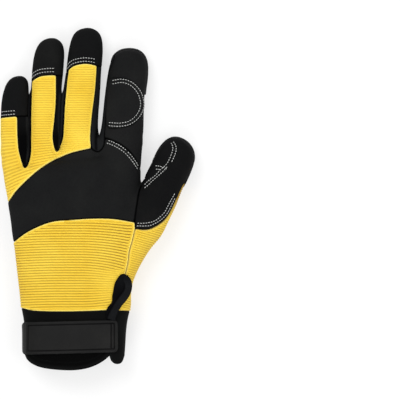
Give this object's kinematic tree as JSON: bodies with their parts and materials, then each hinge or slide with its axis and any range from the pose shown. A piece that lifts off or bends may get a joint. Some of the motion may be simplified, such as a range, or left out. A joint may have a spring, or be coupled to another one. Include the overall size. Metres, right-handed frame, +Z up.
{
  "type": "chainsaw glove",
  "caption": "Left work glove of leather and ribbed knit, lying palm down, hollow for the hand, with padded palm patches, wrist strap and pull loop",
  "frame": {"origin": "under the middle of the glove's bounding box, on the surface that it lies on", "axes": "+Z up through the back of the hand, +Y toward the fingertips, +X toward the thumb side"},
  "size_m": [0.1404, 0.2454, 0.0345],
  "materials": {
    "yellow_knit": "fine ribbed knit",
    "black_leather": "matt smooth",
    "black_knit": "matt knit",
    "grey_patch": "pebbled, matt",
    "glossy_patch": "pebbled, half gloss",
    "cuff_knit": "smooth stretch cloth",
    "satin_rubber": "satin",
    "loop_tape": "woven tape"
  },
  "bodies": {
    "root": {"palm_panel": "black_leather", "back_upper_panel": "yellow_knit", "back_lower_panel": "yellow_knit", "thumb_gusset": "yellow_knit", "knuckle_band": "black_leather", "index_back": "black_leather", "thumb_back": "black_leather", "pinky_cap": "black_leather", "ring_cap": "black_leather", "middle_cap": "black_leather", "pinky_ring_fourchette": "black_knit", "ring_middle_fourchette": "black_knit", "middle_index_fourchette": "black_knit", "upper_palm_patch": "grey_patch", "hook_palm_patch": "grey_patch", "crotch_palm_patch": "grey_patch", "pinky_tip_patch": "grey_patch", "ring_tip_patch": "grey_patch", "middle_tip_patch": "grey_patch", "index_tip_patch": "glossy_patch", "thumb_tip_patch": "glossy_patch", "index_knuckle_patch": "black_leather", "cuff": "cuff_knit", "cuff_hem": "cuff_knit", "cuff_flap": "cuff_knit", "cuff_strap": "satin_rubber", "pull_loop": "loop_tape"}
  },
  "joints": []
}
